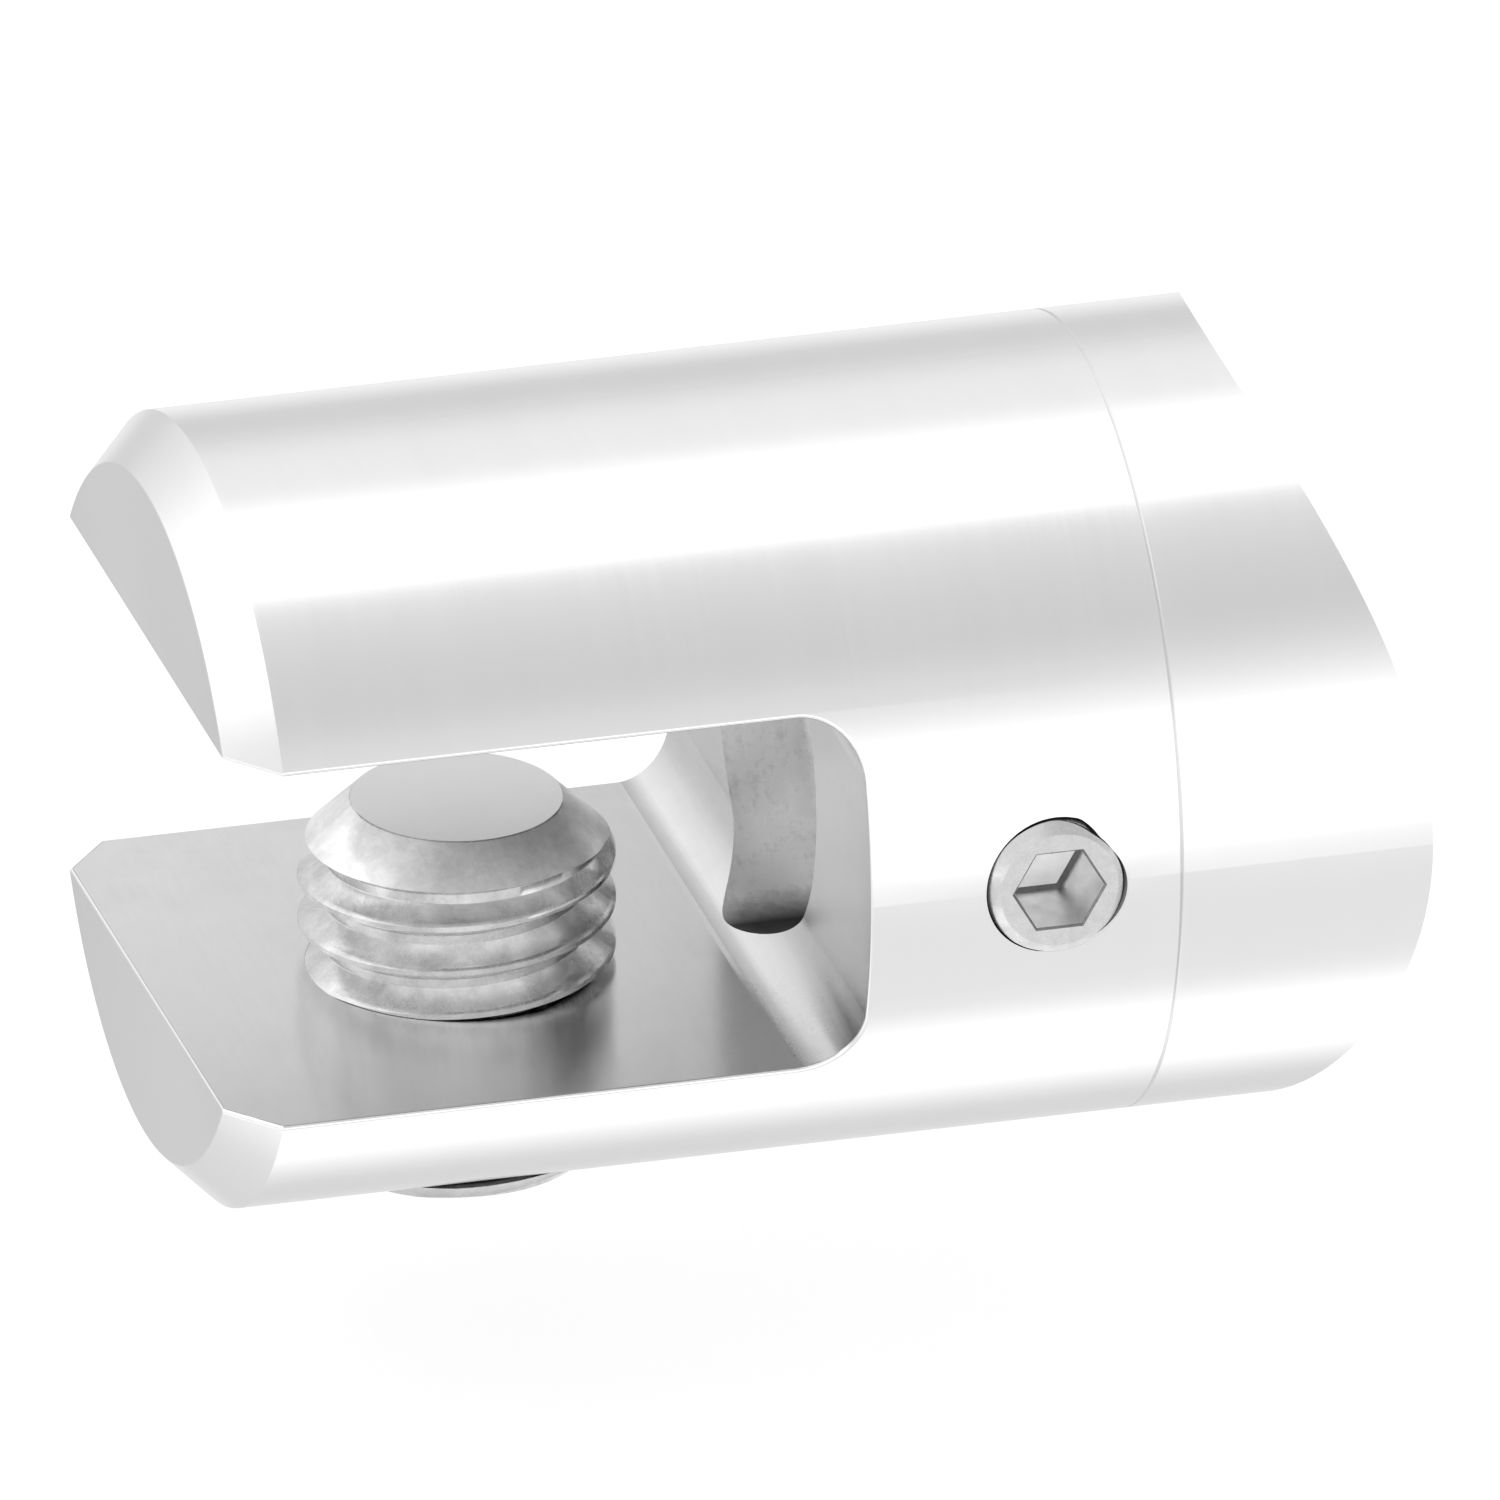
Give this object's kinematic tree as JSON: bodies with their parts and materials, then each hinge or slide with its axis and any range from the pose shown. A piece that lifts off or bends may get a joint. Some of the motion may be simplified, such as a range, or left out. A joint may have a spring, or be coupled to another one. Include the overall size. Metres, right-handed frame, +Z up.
{
  "type": "railing bar holder",
  "caption": "Slotted stainless cylinder with a screw through its lower jaw that clamps a railing bar, locked on a spigoted saddle that fits a round post.",
  "frame": {"origin": "bottom of the saddle's hollow, on the holder's axis, where the fixing hole meets the post's skin", "axes": "+Y from the jaws to the post along the holder's axis, +Z up along the post, +X towards the side the locking screw enters; the slot runs along X"},
  "size_m": [0.0252, 0.0381, 0.025],
  "materials": {
    "body_steel": "satin, fine brushed round the axis",
    "saddle_steel": "satin, fine brushed round the axis",
    "clamp_screw_steel": "rolled thread, slightly mottled",
    "lock_screw_steel": "as machined, slightly mottled"
  },
  "bodies": {
    "saddle": {"post_saddle": "saddle_steel"},
    "head": {"clamp_body": "body_steel"},
    "clamp_screw": {"clamp_screw": "clamp_screw_steel"},
    "lock_screw": {"lock_screw": "lock_screw_steel"}
  },
  "joints": [
    {"name": "head_swivel", "type": "hinge", "parent": "saddle", "child": "head", "pos_m": [0, -0.008, 0], "axis": [0, 1, 0], "continuous": true},
    {"name": "clamp_screw_travel", "type": "slide", "parent": "head", "child": "clamp_screw", "axis": [0, 0, 1], "range_m": [-0.006, 0.003]},
    {"name": "lock_screw_travel", "type": "slide", "parent": "head", "child": "lock_screw", "axis": [1, 0, 0], "range_m": [0, 0.0048]}
  ]
}
